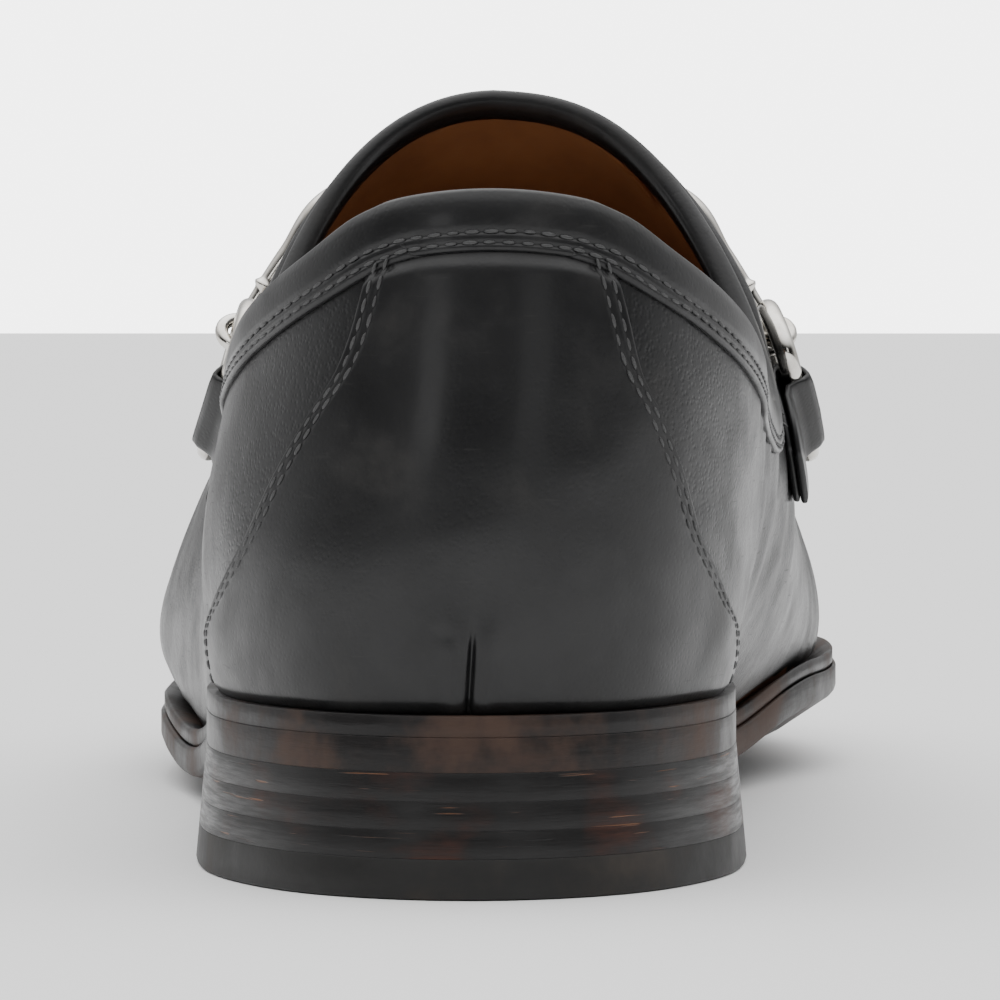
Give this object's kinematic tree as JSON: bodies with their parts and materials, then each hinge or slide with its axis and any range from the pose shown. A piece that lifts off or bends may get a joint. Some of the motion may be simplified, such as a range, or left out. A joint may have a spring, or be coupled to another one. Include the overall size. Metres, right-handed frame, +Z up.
{
  "type": "bit loafer",
  "caption": "Left leather slip-on loafer with a low stacked heel, heel counter, bound top line, raised apron seam and a plain metal snaffle bit over the instep.",
  "frame": {"origin": "on the floor, under the middle of the shoe's bounding box", "axes": "+Z up, +Y along the shoe towards the toe, +X towards the medial side of the left foot"},
  "size_m": [0.1018, 0.2966, 0.1003],
  "materials": {
    "upper_leather": "smooth black calf with a soft shine",
    "sock_leather": "matt tan lining leather",
    "welt_leather": "black edge ink",
    "sole_leather": "black edge ink rubbed through to red-brown",
    "heel_rubber": "matt worn rubber",
    "bit_metal": "polished, lightly worn"
  },
  "bodies": {
    "root": {"upper": "upper_leather", "counter": "upper_leather", "collar_binding": "upper_leather", "saddle_strap": "upper_leather", "strap_medial": "upper_leather", "strap_lateral": "upper_leather", "insole": "sock_leather", "welt": "welt_leather", "outsole": "sole_leather", "heel_lift_1": "sole_leather", "heel_lift_2": "sole_leather", "heel_lift_3": "sole_leather", "top_lift": "heel_rubber", "bit_ring_medial": "bit_metal", "bit_ring_lateral": "bit_metal", "bit_bar": "bit_metal"}
  },
  "joints": []
}
